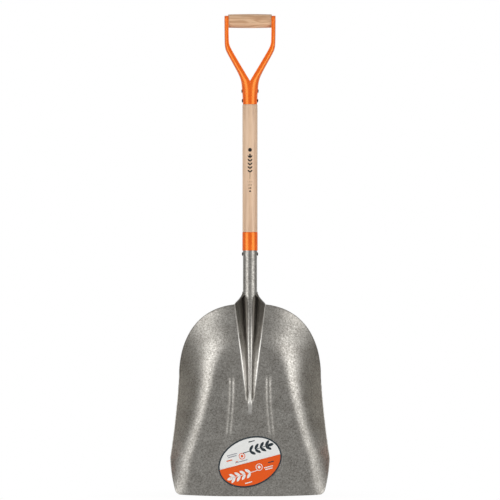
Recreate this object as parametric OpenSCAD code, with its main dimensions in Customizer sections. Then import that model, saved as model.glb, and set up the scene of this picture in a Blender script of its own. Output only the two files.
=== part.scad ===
// Grain scoop shovel: a deep pressed-steel pan with a rolled socket, an ash
// shaft, and a D-grip made of a pressed-steel yoke and a turned wooden bar.
// Millimetres. The cutting edge lies at z = 0, +Z runs up the handle, the pan
// opens towards -Y, and x = 0 is the plane of symmetry.

/* [Pan outline] */
// Greatest width of the pan
pan_w = 351; // [320:1:380]
// Height of the rear rim above the cutting edge
pan_h = 427; // [410:1:445]
// Height at which the pan is widest
widest_z = 85; // [70:1:110]
// Height at which the sides turn into the shoulders
shoulder_z = 260; // [240:1:280]
// How far each side draws in from its widest point to the shoulder
shoulder_in = 19.5; // [10:0.5:30]
// Bow of the side between its widest point and the shoulder
side_bow = 7; // [0:0.5:12]
// How far each side draws in from its widest point to the cutting edge
nose_in = 14; // [5:0.5:20]
// Squareness of the shoulders: 2 is an ellipse
shoulder_power = 2.5; // [2:0.1:3]
// Rise of the cutting edge from its middle to its corners
edge_rise = 4; // [0:0.5:8]
// Radius of the two corners of the cutting edge
corner_r = 10; // [6:1:16]

/* [Pan depth] */
// Thickness of the sheet steel that the pan and the socket are made of
sheet_t = 1.5; // [1.2:0.1:1.6]
// Height of the deepest point of the dished floor
dish_z = 215; // [190:1:235]
// Distance from the handle's axis forward to the floor at that point
dish_reach = 14; // [13:0.5:16]
// Slope of the floor from the dish to the cutting edge
lift = 0.31; // [0.28:0.01:0.34]
// Slope of the floor from the dish to the rear rim
rear_rise = 0.11; // [0.08:0.01:0.26]
// Length over which the two slopes blend
dish_blend = 60; // [40:5:90]
// Distance from the handle's axis forward to the side rims
rim_reach = 86; // [80:1:95]
// How far the rim falls back towards the socket
bow_rear = 24; // [18:1:34]
// How far the rim falls back towards the cutting edge
bow_edge = 11; // [4:1:14]
// Where the walls start to rise at the rear: 0 is the middle, 1 is the rim
fold_rear = 0.25; // [0:0.01:0.35]
// Where the walls start to rise at the cutting edge
fold_edge = 0.8; // [0.7:0.01:0.85]
// Softness of that start
fold_soft = 0.06; // [0.02:0.01:0.1]
// Height of the two pressed stiffening ribs in the floor
rib_h = 1.9; // [0:0.1:2.4]

/* [Socket] */
// Outside radius of the rolled socket
socket_r = 15.8; // [15.6:0.1:16]
// Outside radius of the socket's slightly flared mouth
mouth_r = 16.15; // [16:0.05:16.2]
// Height of the socket's mouth
mouth_z = 562; // [556:1:566]
// Height at which the shoulder of the pan reaches the socket
neck_z = 446; // [442:1:450]
// Half-angle of the open seam down the back of the socket
seam_angle = 3; // [2:0.5:6]
// Half-width of the trough around the socket at the rear rim
trough_half = 33; // [28:1:36]

/* [Shaft] */
// Radius of the bare shaft
shaft_r = 16.75; // [16.5:0.05:17]
// Radius of the shaft's end inside the socket
tenon_r = 13.9; // [13.2:0.1:13.9]
// Height of the collar's lower edge
collar_z = 545; // [542:1:550]
// Length of the collar
collar_h = 41; // [30:1:46]
// Outside radius of the collar
collar_r = 17.1; // [17.1:0.05:17.4]

/* [Grip] */
// Height of the lower end of the yoke's sleeve
sleeve_z = 871; // [850:1:880]
// Outside radius of the sleeve at its lower end
sleeve_r = 16.05; // [15.9:0.05:16.4]
// Thickness of the yoke's sheet steel
yoke_t = 1.6; // [1.4:0.1:1.8]
// Height of the sleeve above which the two arms part
apex_z = 922.5; // [915:0.5:930]
// Height of the bar's centre line
bar_z = 1056.5; // [1050:0.5:1070]
// Radius of the bar at its middle
bar_r = 15.6; // [15:0.1:16]
// Radius of the bar at its ends
bar_end_r = 14.6; // [14:0.1:14.8]
// Outside half-width of the grip
grip_half = 57.2; // [54:0.1:60]
// Width of each arm's flange at the bar, seen from the front
flange_w = 9.2; // [7:0.1:10]
// Half-depth of the arms, from the handle's axis to their front edges
arm_half_depth = 17; // [16.6:0.1:18]
// Radius of the rod through the bar
rod_r = 3; // [2.5:0.1:3.5]

/* [Rivets] */
// Radius of the rivets' shanks
rivet_r = 2.5; // [2:0.1:3]
// Radius of the rivets' domed heads
head_r = 4.2; // [3.6:0.1:5]
// Height of the heads
head_h = 1.8; // [1.2:0.1:2.4]
// Height of the rivet through the socket
socket_rivet_z = 537; // [525:1:538]
// Height of the lower rivet through the yoke's sleeve
yoke_rivet_lower_z = 879; // [878:0.5:882]
// Height of the upper rivet through the yoke's sleeve
yoke_rivet_upper_z = 900.5; // [898:0.5:902]

/* [Label] */
// Half-length of the oval label
label_a = 73; // [60:1:80]
// Half-width of the oval label
label_b = 53.5; // [40:0.5:60]
// Height of the label's centre
label_z = 75.5; // [70:0.5:90]
// Tilt of the label's long axis
label_tilt = 22; // [0:1:30]

/* [Hidden] */

$fn = 64;
steel = [0.52, 0.50, 0.47];
orange = [0.93, 0.42, 0.10];
ash = [0.86, 0.74, 0.62];
dark_steel = [0.25, 0.23, 0.21];
label_white = [0.92, 0.92, 0.90];

// Working clearance between parts that are fitted into each other
fit = 0.12;
// Distance from the part's middle depth back to the handle's axis
axis_y = (rim_reach - arm_half_depth) / 2;

pan_half = pan_w / 2;
shoulder_half = pan_half - shoulder_in;
// Share of the nose's draw-in that is straight; the rest is curved
nose_straight = 0.25;

// The frog: a ridge that carries the socket's front down into the pan. It ends
// lower than the two valleys beside it.
frog_end_z = 176;
valley_end_z = 203;
frog_full_z = 225;
// Height where the trough's two creases would meet the ridge
crease_z = 218;
crease_half = 9;
// Least half-width of the trough, and the length over which it blends in
crease_least = 7;
crease_blend = 4;
ridge_half = 5;
ridge_depth = 6;
// Rise of the trough's wall above the rear rim, where it meets the socket
neck_rise = 13.5;
// Sharpness of the point where that wall runs up the ridge's side
neck_power = 8;

// The stiffening ribs, as a share of the width, and the heights they span
rib_place_low = 0.26;
rib_place_high = 0.18;
rib_low = 122;
rib_high = 275;
rib_half = 0.034;
rib_fade = 20;

// Height above which the socket is a closed tube, and where its mouth flares
closed_z = 462;
flare_z = 525;

// Grid of the blade: columns on the ridge, on the trough's wall and on the
// wing of each side, then rows from the cutting edge to the rim and rows from
// there to the closed tube
ridge_cols = 5;
wall_cols = 5;
strip_cols = ridge_cols + wall_cols;
wing_cols = 12;
side_cols = strip_cols + wing_cols;
pan_rows = 28;
neck_rows = 5;
// Heights and outside radii of the rows along the closed tube
tube_rows = [
    [closed_z, socket_r], [flare_z, socket_r], [collar_z, mouth_r], [mouth_z, mouth_r]
];
blade_rows = pan_rows + neck_rows + len(tube_rows) - 1;

function lerp(a, b, s) = a + (b - a) * s;
function clamp01(s) = min(1, max(0, s));
function ease(s) = let (c = clamp01(s)) c * c * (3 - 2 * c);
// Smaller and larger of two numbers, rounded where they cross
function soft_min(a, b, k) = (a + b - sqrt((a - b) * (a - b) + k * k)) / 2;
function soft_max(a, b, k) = (a + b + sqrt((a - b) * (a - b) + k * k)) / 2;
// Direction of a vector; cells that aren't used have none
function unit(v) = norm(v) > 0 ? v / norm(v) : [0, 0, 0];

// ---- Meshes ----------------------------------------------------------------

// Two triangles for the quad whose corners run a, b, c, d anticlockwise from outside
function quad(a, b, c, d) = [[a, c, b], [a, d, c]];

// A solid between two grids of points of the same size. used(r, c) says
// whether the cell above row r and after column c is part of it.
module shell(front, back, used = function (r, c) true) {
    rows = len(front) - 1;
    cols = len(front[0]) - 1;
    count = (rows + 1) * (cols + 1);
    function at(r, c) = r * (cols + 1) + c;
    function has(r, c) = r >= 0 && r < rows && c >= 0 && c < cols && used(r, c);
    function border(a, b) = quad(b, a, count + a, count + b);
    faces = [
        for (r = [0:rows - 1]) for (c = [0:cols - 1]) if (has(r, c))
            let (p = at(r, c), q = at(r, c + 1), s = at(r + 1, c + 1), t = at(r + 1, c))
            each concat(
                quad(p, q, s, t),
                quad(count + p, count + t, count + s, count + q),
                has(r - 1, c) ? [] : border(p, q),
                has(r, c + 1) ? [] : border(q, s),
                has(r + 1, c) ? [] : border(s, t),
                has(r, c - 1) ? [] : border(t, p))
    ];
    polyhedron([for (side = [front, back]) for (row = side) each row], faces, convexity = 10);
}

// A solid through a stack of closed rings with the same number of points
module loft(rings) {
    sides = len(rings[0]);
    top = (len(rings) - 1) * sides;
    half = sides / 2;
    points = [for (ring = rings) for (p = ring) p];
    faces = [
        for (r = [0:len(rings) - 2]) for (s = [0:sides - 1])
            each quad(r * sides + s, (r + 1) * sides + s,
                      (r + 1) * sides + (s + 1) % sides, r * sides + (s + 1) % sides),
        for (s = [0:half - 2]) each concat(
            quad(s, s + 1, sides - 2 - s, sides - 1 - s),
            quad(top + s, top + sides - 1 - s, top + sides - 2 - s, top + s + 1)),
    ];
    polyhedron(points, faces, convexity = 6);
}

// Unit normals of a grid, on the side that its rows and columns turn towards
function grid_normals(g) = [
    for (r = [0:len(g) - 1]) [
        for (c = [0:len(g[0]) - 1])
            let (along = g[min(r + 1, len(g) - 1)][c] - g[max(r - 1, 0)][c],
                 across = g[r][min(c + 1, len(g[0]) - 1)] - g[r][max(c - 1, 0)])
            unit(cross(across, along))
    ]
];

// ---- Scoop blade -----------------------------------------------------------

// Half-width of the pan's outline at a height
function side_half(z) =
    z > widest_z
    ? let (s = clamp01((z - widest_z) / (shoulder_z - widest_z)))
      pan_half - (shoulder_in + side_bow) * s + side_bow * s * s
    : let (s = (widest_z - z) / widest_z)
      pan_half - nose_in * (nose_straight * s + (1 - nose_straight) * s * s);

// Height of the rear rim at a distance from the middle
function rim_z(x) = shoulder_z + (pan_h - shoulder_z)
    * pow(1 - min(1, pow(x / shoulder_half, shoulder_power)), 1 / shoulder_power);

// Height of the cutting edge at a share of its half-width
function edge_z(share) =
    let (half = side_half(0), over = max(0, share * half - (half - corner_r)))
    edge_rise * share * share + corner_r - sqrt(corner_r * corner_r - over * over);

// Place of a point between the pan's middle, 0, and its rim, 1
function rim_share(x, z) =
    z > shoulder_z
    ? pow(pow(abs(x) / shoulder_half, shoulder_power)
          + pow((z - shoulder_z) / (pan_h - shoulder_z), shoulder_power),
          1 / shoulder_power)
    : abs(x) / side_half(z);

// Depth of the dished floor along the middle
function spine_y(z) =
    let (d = z - dish_z, s = sqrt(d * d + dish_blend * dish_blend) - dish_blend)
    -dish_reach - (lift * (s - d) + rear_rise * (s + d)) / 2;

function rim_y(z) =
    -rim_reach + (z > dish_z ? bow_rear : bow_edge) * pow((z - dish_z) / dish_z, 2);

// Rise from the floor, 0, to the rim, 1: flat at first, then ever steeper
function fold(share, place) =
    let (h = function (s) pow(sqrt(pow(s - place, 2) + fold_soft * fold_soft) + s - place, 2))
    (h(share) - h(0)) / (h(1) - h(0));

function rib(share, z) =
    let (place = lerp(rib_place_low, rib_place_high, (z - rib_low) / (rib_high - rib_low)))
    rib_h * exp(-pow((abs(share) - place) / rib_half, 2))
    * ease((z - rib_low) / rib_fade) * ease((rib_high - z) / rib_fade);

// Depth of the pan's inner face, without the trough
function pan_y(x, z) =
    let (rise = fold(rim_share(x, z), lerp(fold_edge, fold_rear, z / pan_h)))
    lerp(spine_y(z), rim_y(z), rise)
    - rib((abs(x) - crease_x(z)) / (side_half(z) - crease_x(z)), z);

// Half-width between the two creases of the trough
function crease_x(z) =
    soft_max(crease_least,
             lerp(crease_half, trough_half, (z - crease_z) / (pan_h - crease_z)), crease_blend);

// Share of the frog's height: 0 at its lower end, 1 at the neck
function frog_share(z) = clamp01((z - crease_z) / (neck_z - crease_z));
function ridge_x(z) = lerp(ridge_half, socket_r, pow(frog_share(z), 1.8));
function valley_y(z) = -socket_r + lerp(ridge_depth, socket_r, pow(frog_share(z), 1.5));

// Height of the sheet's upper edge at a share of the trough's wall
function neck_edge_z(share) = pan_h
    + neck_rise * (1 - share) + (neck_z - pan_h - neck_rise) * pow(1 - share, neck_power);

// Depth and place of one grid point between the cutting edge and the rim.
// i counts columns outwards from the middle.
function pan_point(i, r) =
    let (angle = 90 * i / ridge_cols,
         wall = clamp01((i - ridge_cols) / wall_cols),
         wing = clamp01((i - strip_cols) / wing_cols),
         out = 0.6 * sin(90 * wing) + 0.4 * wing,
         top = wing > 0 ? rim_z(lerp(trough_half, shoulder_half, out)) : neck_edge_z(wall),
         z = lerp(edge_z(out), top, r / pan_rows),
         x = i <= ridge_cols ? ridge_x(z) * sin(angle)
           : i <= strip_cols ? lerp(ridge_x(z), crease_x(z), wall)
           : lerp(crease_x(z), side_half(z), out),
         frog = i <= ridge_cols
              ? lerp(-socket_r, valley_y(z), 1 - cos(angle))
              : lerp(valley_y(z), pan_y(crease_x(z), z), wall),
         low = lerp(frog_end_z, valley_end_z, min(1, i / ridge_cols)),
         blend = wing > 0 ? 0 : ease((z - low) / (frog_full_z - low)))
    [x, lerp(pan_y(x, z), frog, blend), z];

// A point on the rolled tube: its front is column 0 and its seam the last one
function tube_point(i, z, r) =
    let (wall = clamp01((i - ridge_cols) / wall_cols),
         angle = 90 * min(1, i / ridge_cols) + (90 - seam_angle) * wall)
    [r * sin(angle), -r * cos(angle), z];

// Between the rim and the closed tube the trough's walls swing back and
// close round the shaft, so each column bends from the rim to the tube
function neck_point(i, s) =
    let (wall = clamp01((i - ridge_cols) / wall_cols),
         start = pan_point(i, pan_rows),
         end = tube_point(i, closed_z, socket_r),
         elbow = wall == 0 ? (start + end) / 2
               : lerp([socket_r, 0, (neck_z + closed_z) / 2],
                      [socket_r - 2, -5, pan_h + neck_rise], wall))
    lerp(lerp(start, elbow, s), lerp(elbow, end, s), s);

function blade_point(i, r) =
    let (neck = r - pan_rows, tube = neck - neck_rows)
    neck <= 0 ? pan_point(i, r)
    : tube < 0 ? neck_point(min(i, strip_cols), neck / neck_rows)
    : tube_point(min(i, strip_cols), tube_rows[tube][0], tube_rows[tube][1]);

module scoop_blade() {
    front = [
        for (r = [0:blade_rows]) [
            for (i = [-side_cols:side_cols])
                let (p = blade_point(abs(i), r)) [i < 0 ? -p.x : p.x, p.y, p.z]
        ]
    ];
    normals = grid_normals(front);
    // The sheet is sheared level at the cutting edge
    back = [
        for (r = [0:blade_rows]) [
            for (c = [0:2 * side_cols])
                let (p = front[r][c] - sheet_t * normals[r][c]) [p.x, p.y, max(0, p.z)]
        ]
    ];
    in_strip = function (r, c)
        r < pan_rows || abs(c + 0.5 - side_cols) < strip_cols;
    color(steel) translate([0, axis_y, 0]) difference() {
        shell(front, back, in_strip);
        rivet_hole(socket_rivet_z);
    }
}

// ---- Shaft and collar ------------------------------------------------------

module handle_shaft() {
    tenon_low = closed_z + 4;
    tenon_high = mouth_z + 1;
    in_collar_r = collar_bore_r() - fit;
    in_sleeve_r = sleeve_r - yoke_t - fit;
    top = apex_z - 4;
    chamfer = 3;
    color(ash) translate([0, axis_y, 0]) difference() {
        rotate_extrude()
            polygon([
                [0, tenon_low], [tenon_r - chamfer, tenon_low],
                [tenon_r, tenon_low + 2 * chamfer], [tenon_r, tenon_high],
                [in_collar_r, tenon_high], [in_collar_r, collar_z + collar_h],
                [shaft_r, collar_z + collar_h + fit], [shaft_r, sleeve_z - chamfer],
                [shaft_r - 1, sleeve_z - fit], [in_sleeve_r, sleeve_z - fit],
                [in_sleeve_r, top - chamfer], [in_sleeve_r - chamfer, top], [0, top]
            ]);
        for (z = [socket_rivet_z, yoke_rivet_lower_z, yoke_rivet_upper_z])
            rivet_hole(z);
    }
}

function collar_bore_r() = mouth_r + fit;

module socket_collar() {
    edge = 0.4;
    color(orange) translate([0, axis_y, collar_z]) rotate_extrude()
        polygon([
            [collar_bore_r(), 0], [collar_r - edge, 0], [collar_r, edge],
            [collar_r, collar_h - edge], [collar_r - edge, collar_h], [collar_bore_r(), collar_h]
        ]);
}

// ---- Rivets ----------------------------------------------------------------

module along_x(z) {
    translate([0, 0, z]) rotate([0, 90, 0]) children();
}

module rivet_hole(z) {
    along_x(z) cylinder(h = 4 * shaft_r, r = rivet_r + fit / 2, center = true);
}

// A rivet along X, with a domed head at each end of its grip length
module rivet(z, grip_half_length) {
    steps = 6;
    dome_r = (head_r * head_r + head_h * head_h) / (2 * head_h);
    sweep = asin(head_r / dome_r);
    dome = [for (i = [0:steps])
        let (a = sweep * (1 - i / steps))
        [dome_r * sin(a), grip_half_length + head_h - dome_r + dome_r * cos(a)]];
    profile = concat([[0, 0], [rivet_r, 0], [rivet_r, grip_half_length]], dome);
    color(dark_steel) translate([0, axis_y, 0]) along_x(z)
        for (end = [0, 1]) mirror([0, 0, end]) rotate_extrude() polygon(profile);
}

module socket_rivet() rivet(socket_rivet_z, socket_r + 0.6);
module yoke_rivet_lower() rivet(yoke_rivet_lower_z, sleeve_half(yoke_rivet_lower_z) + 0.3);
module yoke_rivet_upper() rivet(yoke_rivet_upper_z, sleeve_half(yoke_rivet_upper_z) + 0.4);

// ---- Grip yoke -------------------------------------------------------------

// Sideways lean of the arms' inner and outer edges, and their width at the apex
arm_lean = 0.6;
arm_lean_out = 0.588;
apex_half = 14.6;
// Lengths over which the arms bend upright and leave the sleeve
arm_bend = 5;
crotch_bend = 9;
// Height over which the arms' round section turns square
square_rise = 60;
arm_power = 3.4;
sleeve_top_r = 17.2;
// Height of the plane where the round sleeve turns into the two arms
split_z = 903;
ear_top_z = bar_z + 11.5;
ear_corner_r = 7;
arm_rings = 26;
arm_points = 10;

// Half-width of the sleeve, which widens a little towards the arms
function sleeve_half(z) =
    lerp(sleeve_r, sleeve_top_r, clamp01((z - sleeve_z) / (split_z - sleeve_z)));

// Inner and outer edges of an arm, seen from the front
function arm_in(z) = max(-0.3, soft_min((z - apex_z) * arm_lean, grip_half - flange_w, arm_bend));
function arm_out(z) =
    let (lean = apex_half + (z - apex_z) * arm_lean_out)
    soft_min(soft_max(sleeve_top_r - 0.6, lean, crotch_bend), grip_half, arm_bend);

// Half-depth of an arm, rounded off at the ear's top corners
function arm_depth(z) =
    let (over = max(0, z - (ear_top_z - ear_corner_r)))
    lerp(sleeve_top_r, arm_half_depth, ease((z - split_z) / 40))
    - ear_corner_r + sqrt(ear_corner_r * ear_corner_r - over * over);

// A half-round outline from the back edge to the front edge, squarer higher up
function arm_outline(low_x, high_x, depth, power) = [
    for (i = [0:arm_points])
        let (a = 90 - 180 * i / arm_points)
        [lerp(low_x, high_x, pow(cos(a), 2 / power)),
         depth * sign(a) * pow(abs(sin(a)), 2 / power)]
];

function arm_ring(z) =
    let (power = lerp(2, arm_power, ease((z - split_z) / square_rise)),
         t = yoke_t,
         outer = arm_outline(arm_in(z), arm_out(z), arm_depth(z), power),
         inner = arm_outline(arm_in(z), arm_out(z) - t * 1.1, arm_depth(z) - t, power))
    [for (p = concat(outer, [for (i = [arm_points:-1:0]) inner[i]])) [p.x, p.y, z]];

module arm() {
    loft([for (i = [0:arm_rings]) arm_ring(lerp(split_z - 0.6, ear_top_z, i / arm_rings))]);
}

module sleeve() {
    rotate_extrude()
        polygon([
            [sleeve_r - yoke_t, sleeve_z], [sleeve_r, sleeve_z],
            [sleeve_top_r + 0.1, split_z], [sleeve_top_r - yoke_t - 0.1, split_z]
        ]);
}

module grip_yoke() {
    color(orange) translate([0, axis_y, 0]) difference() {
        union() {
            sleeve();
            arm();
            mirror([1, 0, 0]) arm();
        }
        rivet_hole(yoke_rivet_lower_z);
        rivet_hole(yoke_rivet_upper_z);
        along_x(bar_z) cylinder(h = 3 * grip_half, r = rod_r + fit / 2, center = true);
    }
}

// ---- Bar and rod -----------------------------------------------------------

module grip_bar() {
    steps = 12;
    chamfer = 1;
    half = grip_half - yoke_t * 1.1 - 2 * fit;
    barrel = [for (i = [0:steps])
        let (s = 2 * i / steps - 1) [lerp(bar_r, bar_end_r, s * s), s * (half - chamfer)]];
    color(ash) translate([0, axis_y, 0]) along_x(bar_z) rotate_extrude()
        polygon(concat(
            [[rod_r + fit / 2, -half], [bar_end_r - chamfer, -half]], barrel,
            [[bar_end_r - chamfer, half], [rod_r + fit / 2, half]]));
}

module grip_rod() {
    color(dark_steel) translate([0, axis_y, 0]) along_x(bar_z)
        cylinder(h = 2 * grip_half, r = rod_r, center = true);
}

// ---- Label -----------------------------------------------------------------

// Smooth map from a square to a disc
function disc(u, v) = [u * sqrt(1 - v * v / 2), v * sqrt(1 - u * u / 2)];

module blade_label() {
    steps = 12;
    gap = 0.1;
    label_t = 0.3;
    function sheet(lift_off) = [
        for (j = [0:steps]) [
            for (i = [0:steps])
                let (d = disc(2 * i / steps - 1, 2 * j / steps - 1),
                     x = d.x * label_a * cos(label_tilt) - d.y * label_b * sin(label_tilt),
                     z = d.x * label_a * sin(label_tilt) + d.y * label_b * cos(label_tilt)
                       + label_z)
                [x, pan_y(x, z) - lift_off, z]
        ]
    ];
    color(label_white) translate([0, axis_y, 0]) shell(sheet(gap + label_t), sheet(gap));
}

scoop_blade();
handle_shaft();
socket_collar();
socket_rivet();
grip_yoke();
yoke_rivet_lower();
yoke_rivet_upper();
grip_bar();
grip_rod();
blade_label();
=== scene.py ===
"""The looks of the grain scoop shovel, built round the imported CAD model.

Shapes are worked out in millimetres about the handle's axis, with the cutting
edge at z = 0 and the pan opening towards -Y. to_scene() turns them into metres
in the CAD model's frame.
"""

import math

import bmesh
import bpy
import numpy as np
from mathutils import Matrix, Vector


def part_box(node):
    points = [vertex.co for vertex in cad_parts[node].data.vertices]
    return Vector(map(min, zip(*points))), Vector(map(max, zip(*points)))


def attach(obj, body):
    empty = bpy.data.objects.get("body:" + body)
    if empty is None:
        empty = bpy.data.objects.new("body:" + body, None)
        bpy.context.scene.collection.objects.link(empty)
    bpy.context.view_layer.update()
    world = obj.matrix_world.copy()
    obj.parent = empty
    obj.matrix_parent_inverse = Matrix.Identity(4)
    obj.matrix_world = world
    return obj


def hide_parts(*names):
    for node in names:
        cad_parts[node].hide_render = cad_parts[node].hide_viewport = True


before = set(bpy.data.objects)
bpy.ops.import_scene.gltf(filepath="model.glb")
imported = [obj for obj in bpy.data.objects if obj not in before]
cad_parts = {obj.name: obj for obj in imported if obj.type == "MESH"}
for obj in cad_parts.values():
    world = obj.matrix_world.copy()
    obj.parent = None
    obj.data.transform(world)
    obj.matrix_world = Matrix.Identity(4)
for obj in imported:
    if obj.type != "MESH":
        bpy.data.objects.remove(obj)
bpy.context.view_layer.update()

MM = 0.001


def box_mm(node):
    """Lowest and highest corner of a CAD node, in millimetres."""
    low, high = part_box(node)
    return np.array(low) / MM, np.array(high) / MM


def middle(node):
    low, high = box_mm(node)
    return (low + high) / 2


# ---- Sizes taken from the frame ----------------------------------------------

AXIS_Y = middle("handle_shaft")[1]
SHAFT_LOW, SHAFT_HIGH = box_mm("handle_shaft")
COLLAR_LOW, COLLAR_HIGH = box_mm("socket_collar")
YOKE_LOW, YOKE_HIGH = box_mm("grip_yoke")
BAR_LOW, BAR_HIGH = box_mm("grip_bar")
LABEL_LOW, LABEL_HIGH = box_mm("blade_label")

# ---- Sizes of the pan, as in the CAD model apart from a crisper fold ----------

SHEET_T = 1.5
PAN_HALF = 175.5
PAN_H = 427.0
WIDEST_Z = 85.0
SHOULDER_Z = 260.0
SHOULDER_IN = 19.5
SHOULDER_HALF = PAN_HALF - SHOULDER_IN
SHOULDER_POWER = 2.5
SIDE_BOW = 7.0
NOSE_IN = 14.0
NOSE_STRAIGHT = 0.25
EDGE_RISE = 4.0
CORNER_R = 10.0

DISH_Z = 215.0
DISH_REACH = 14.0
LIFT = 0.31
REAR_RISE = 0.11
DISH_BLEND = 60.0
RIM_REACH = 86.0
BOW_REAR, BOW_EDGE = 24.0, 11.0
FOLD_REAR, FOLD_EDGE = 0.25, 0.8
FOLD_SOFT = 0.04
RIB_H = 1.9
RIB_PLACE_LOW, RIB_PLACE_HIGH = 0.26, 0.18
RIB_HALF = 0.034
RIB_LOW, RIB_HIGH = 122.0, 275.0
RIB_FADE = 20.0

SOCKET_R = 15.8
MOUTH_R = 16.15
MOUTH_Z = 562.0
NECK_Z = 446.0
NECK_RISE = 13.5
CLOSED_Z = 462.0
FLARE_Z = 525.0
SEAM_ANGLE = 3.0
TROUGH_HALF = 33.0
FROG_END_Z, FROG_FULL_Z = 176.0, 225.0
VALLEY_END_Z = 203.0
CREASE_Z = 218.0
CREASE_HALF = 9.0
CREASE_LEAST = 7.0
CREASE_BLEND = 4.0
RIDGE_HALF = 5.0
RIDGE_DEPTH = 6.0

# ---- Small mathematics -------------------------------------------------------


def lerp(a, b, s):
    return a + (b - a) * s


def clamp01(s):
    return np.clip(s, 0.0, 1.0)


def ease(s):
    s = clamp01(s)
    return s * s * (3 - 2 * s)


def soft_min(a, b, k):
    """The smaller of two numbers, rounded where they cross."""
    return (a + b - np.sqrt((a - b) ** 2 + k * k)) / 2


def soft_max(a, b, k):
    return (a + b + np.sqrt((a - b) ** 2 + k * k)) / 2


def unit(v):
    return v / np.maximum(np.linalg.norm(v, axis=-1, keepdims=True), 1e-9)


def to_scene(points):
    """Millimetres about the handle's axis to metres in the CAD frame."""
    return (np.asarray(points, float) + (0, AXIS_Y, 0)) * MM


# ---- Mesh building -----------------------------------------------------------


def mesh_object(name, points, faces, materials, face_materials=None):
    """A smooth-shaded object from points in millimetres."""
    mesh = bpy.data.meshes.new(name)
    mesh.from_pydata([tuple(p) for p in to_scene(points)], [], [tuple(f) for f in faces])
    for material in materials:
        mesh.materials.append(material)
    if face_materials is not None:
        mesh.polygons.foreach_set("material_index", face_materials)
    mesh.validate()
    mesh.update()
    mesh.shade_smooth()
    obj = bpy.data.objects.new(name, mesh)
    bpy.context.collection.objects.link(obj)
    return obj


def apply_modifiers(obj):
    """Turns the modified mesh into the object's own mesh."""
    graph = bpy.context.evaluated_depsgraph_get()
    mesh = bpy.data.meshes.new_from_object(obj.evaluated_get(graph))
    obj.modifiers.clear()
    obj.data = mesh


def round_edges(obj, width, segments=2, angle=50):
    """Rounds the sheared edges of a sheet or the corners of a turned piece."""
    bevel = obj.modifiers.new("bevel", "BEVEL")
    bevel.width = width * MM
    bevel.segments = segments
    bevel.limit_method = "ANGLE"
    bevel.angle_limit = math.radians(angle)
    bevel.use_clamp_overlap = True
    apply_modifiers(obj)


def grid_normals(grid):
    """Unit normals of a grid of points, from its neighbours along both ways."""
    along = np.gradient(grid, axis=0)
    across = np.gradient(grid, axis=1)
    return unit(np.cross(across, along))


def shell(front, back, used):
    """Points and faces of a closed sheet between two grids. used says which cells exist."""
    rows, cols = used.shape
    count = (rows + 1) * (cols + 1)
    points = np.concatenate([front.reshape(-1, 3), back.reshape(-1, 3)])

    def at(r, c):
        return r * (cols + 1) + c

    def has(r, c):
        return 0 <= r < rows and 0 <= c < cols and used[r, c]

    faces = []
    for r in range(rows):
        for c in range(cols):
            if not used[r, c]:
                continue
            corners = [at(r, c), at(r, c + 1), at(r + 1, c + 1), at(r + 1, c)]
            faces.append(corners)
            faces.append([count + p for p in reversed(corners)])
            sides = [(r - 1, c), (r, c + 1), (r + 1, c), (r, c - 1)]
            for k, beyond in enumerate(sides):
                if not has(*beyond):
                    a, b = corners[k], corners[(k + 1) % 4]
                    faces.append([b, a, count + a, count + b])
    keep = np.unique(np.concatenate([np.array(f) for f in faces]))
    place = np.full(len(points), -1)
    place[keep] = np.arange(len(keep))
    return points[keep], [[int(place[p]) for p in f] for f in faces]


def lathe(name, profile, centre, axis, material, steps=96, closed=False, wobble=None):
    """A turned piece: profile is a list of (radius, place along the axis)."""
    profile = np.array(profile, float)
    angles = np.linspace(0, 2 * np.pi, steps, endpoint=False)
    rings = []
    for radius, along in profile:
        r = np.full(steps, radius)
        if wobble is not None:
            r = r + wobble(angles, along, radius)
        rings.append(np.stack([r * np.cos(angles), r * np.sin(angles), np.full(steps, along)], 1))
    points = np.concatenate(rings)
    if axis == "x":
        points = points[:, [2, 0, 1]]
    faces = []
    count = len(profile)
    for k in range(count if closed else count - 1):
        low, high = k * steps, ((k + 1) % count) * steps
        for s in range(steps):
            t = (s + 1) % steps
            faces.append([low + s, low + t, high + t, high + s])
    if not closed:
        faces.append(list(range(steps))[::-1])
        faces.append([(count - 1) * steps + s for s in range(steps)])
    return mesh_object(name, points + np.array(centre), faces, [material])


# ---- Materials ---------------------------------------------------------------


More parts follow.
